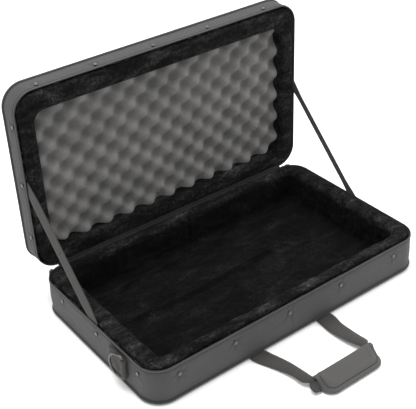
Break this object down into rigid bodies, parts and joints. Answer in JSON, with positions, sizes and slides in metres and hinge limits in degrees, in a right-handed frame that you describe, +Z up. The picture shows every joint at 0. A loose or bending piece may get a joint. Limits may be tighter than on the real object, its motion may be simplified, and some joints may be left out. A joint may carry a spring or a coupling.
{
  "type": "pedalboard carrying case",
  "caption": "Open soft foam-bodied carrying case for a pedalboard, with a hinged egg-crate-padded lid on two stay straps, zip rims, D-rings and a folding grip handle.",
  "frame": {"origin": "centre of the flat underside of the base", "axes": "+X to the right along the case's width, +Y from the front to the hinge at the back, +Z up from the underside"},
  "size_m": [0.6274, 0.5671, 0.4224],
  "materials": {
    "nylon": "heavy woven nylon, charcoal grey, matt with a faint sheen",
    "plush": "short-pile plush lining, near black, deep and matt",
    "egg_foam": "open-cell convoluted foam, mid grey, matt and porous",
    "core_foam": "closed-cell foam inside the walls, not seen",
    "webbing": "flat woven webbing, warm grey, ribbed",
    "grip_pad": "padded woven nylon, warm grey, stitched round its edge",
    "piping": "bias binding over a cord, dark grey",
    "zip_tape": "woven zip tape with a coil of teeth, grey",
    "rivet_metal": "tubular rivet, dark nickel plate, worn bright on its rim",
    "ring_metal": "welded wire ring, dark nickel plate, glossy",
    "slider_metal": "cast zip slider, dark nickel plate, satin"
  },
  "bodies": {
    "base": {"base_bottom_piping": "piping", "base_cover": "nylon", "base_floor_pad": "plush", "base_foam_shell": "core_foam", "base_lining": "plush", "base_rivet_front_1": "rivet_metal", "base_rivet_front_2": "rivet_metal", "base_rivet_front_3": "rivet_metal", "base_rivet_front_4": "rivet_metal", "base_rivet_front_5": "rivet_metal", "base_rivet_left_1": "rivet_metal", "base_rivet_left_2": "rivet_metal", "base_rivet_left_3": "rivet_metal", "base_rivet_right_1": "rivet_metal", "base_rivet_right_2": "rivet_metal", "base_rivet_right_3": "rivet_metal", "base_zipper_tape": "zip_tape", "dring_tab_left": "webbing", "dring_tab_right": "webbing", "handle_anchor_left": "webbing", "handle_anchor_right": "webbing", "hinge_strip": "nylon"},
    "lid": {"lid_convoluted_foam": "egg_foam", "lid_cover": "nylon", "lid_foam_shell": "core_foam", "lid_lining": "plush", "lid_outer_piping": "piping", "lid_pocket": "nylon", "lid_rivet_front_1": "rivet_metal", "lid_rivet_front_2": "rivet_metal", "lid_rivet_front_3": "rivet_metal", "lid_rivet_front_4": "rivet_metal", "lid_rivet_front_5": "rivet_metal", "lid_rivet_left_1": "rivet_metal", "lid_rivet_left_2": "rivet_metal", "lid_rivet_left_3": "rivet_metal", "lid_rivet_right_1": "rivet_metal", "lid_rivet_right_2": "rivet_metal", "lid_rivet_right_3": "rivet_metal", "lid_zipper_tape": "zip_tape", "pocket_zipper": "zip_tape"},
    "dring_left_body": {"dring_left": "ring_metal"},
    "dring_right_body": {"dring_right": "ring_metal"},
    "handle": {"handle_webbing": "webbing", "handle_wrap": "grip_pad"},
    "lid_handle": {"lid_handle_webbing": "webbing"},
    "pocket_slider_body": {"pocket_slider": "slider_metal"},
    "stay_lower_left": {"stay_lower_left": "webbing"},
    "stay_lower_right": {"stay_lower_right": "webbing"},
    "stay_upper_left": {"stay_upper_left": "webbing"},
    "stay_upper_right": {"stay_upper_right": "webbing"},
    "pull_left": {"zipper_pull_left": "slider_metal"},
    "pull_right": {"zipper_pull_right": "slider_metal"},
    "slider_left": {"zipper_slider_left": "slider_metal"},
    "slider_right": {"zipper_slider_right": "slider_metal"}
  },
  "joints": [
    {"name": "lid_hinge", "type": "hinge", "parent": "base", "child": "lid", "pos_m": [0, 0.174, 0.071], "axis": [1, 0, 0], "range_deg": [0, 90]},
    {"name": "stay_lower_left_fold", "type": "hinge", "parent": "base", "child": "stay_lower_left", "pos_m": [-0.2946, 0, 0.071], "axis": [1, 0, 0], "range_deg": [-45, 0]},
    {"name": "stay_upper_left_fold", "type": "hinge", "parent": "lid", "child": "stay_upper_left", "pos_m": [-0.2964, 0.174, 0.245], "axis": [1, 0, 0], "range_deg": [0, 45]},
    {"name": "stay_lower_right_fold", "type": "hinge", "parent": "base", "child": "stay_lower_right", "pos_m": [0.2946, 0, 0.071], "axis": [1, 0, 0], "range_deg": [-45, 0]},
    {"name": "stay_upper_right_fold", "type": "hinge", "parent": "lid", "child": "stay_upper_right", "pos_m": [0.2964, 0.174, 0.245], "axis": [1, 0, 0], "range_deg": [0, 45]},
    {"name": "handle_lift", "type": "hinge", "parent": "base", "child": "handle", "pos_m": [-0.007, -0.1775, 0.0017], "axis": [1, 0, 0], "range_deg": [-75, 0]},
    {"name": "lid_handle_lift", "type": "hinge", "parent": "lid", "child": "lid_handle", "pos_m": [-0.007, 0.2184, 0.4222], "axis": [1, 0, 0], "range_deg": [0, 165]},
    {"name": "dring_left_swing", "type": "hinge", "parent": "base", "child": "dring_left_body", "pos_m": [-0.3062, -0.103, 0.044], "axis": [0, 0, 1], "range_deg": [0, 150]},
    {"name": "dring_right_swing", "type": "hinge", "parent": "base", "child": "dring_right_body", "pos_m": [0.3062, -0.103, 0.03], "axis": [0, 0, -1], "range_deg": [0, 150]},
    {"name": "slider_left_travel", "type": "hinge", "parent": "base", "child": "slider_left", "pos_m": [-0.26, 0.134, 0.066], "axis": [0, 0, 1], "range_deg": [0, 60]},
    {"name": "pull_left_swing", "type": "hinge", "parent": "slider_left", "child": "pull_left", "pos_m": [-0.28169, 0.17479, 0.0655], "axis": [0.8829, 0.4695, 0], "range_deg": [0, 80]},
    {"name": "slider_right_travel", "type": "hinge", "parent": "base", "child": "slider_right", "pos_m": [0.26, 0.134, 0.066], "axis": [0, 0, -1], "range_deg": [0, 60]},
    {"name": "pull_right_swing", "type": "hinge", "parent": "slider_right", "child": "pull_right", "pos_m": [0.28169, 0.17479, 0.0655], "axis": [0.8829, -0.4695, 0], "range_deg": [0, 80]},
    {"name": "pocket_slider_travel", "type": "slide", "parent": "lid", "child": "pocket_slider_body", "axis": [1, 0, 0], "range_m": [0, 0.34]}
  ],
  "couplings": [
    {"joint": "stay_lower_left_fold", "follows": "lid_hinge", "ratio": -0.5},
    {"joint": "stay_upper_left_fold", "follows": "lid_hinge", "ratio": 0.5},
    {"joint": "stay_lower_right_fold", "follows": "lid_hinge", "ratio": -0.5},
    {"joint": "stay_upper_right_fold", "follows": "lid_hinge", "ratio": 0.5}
  ]
}
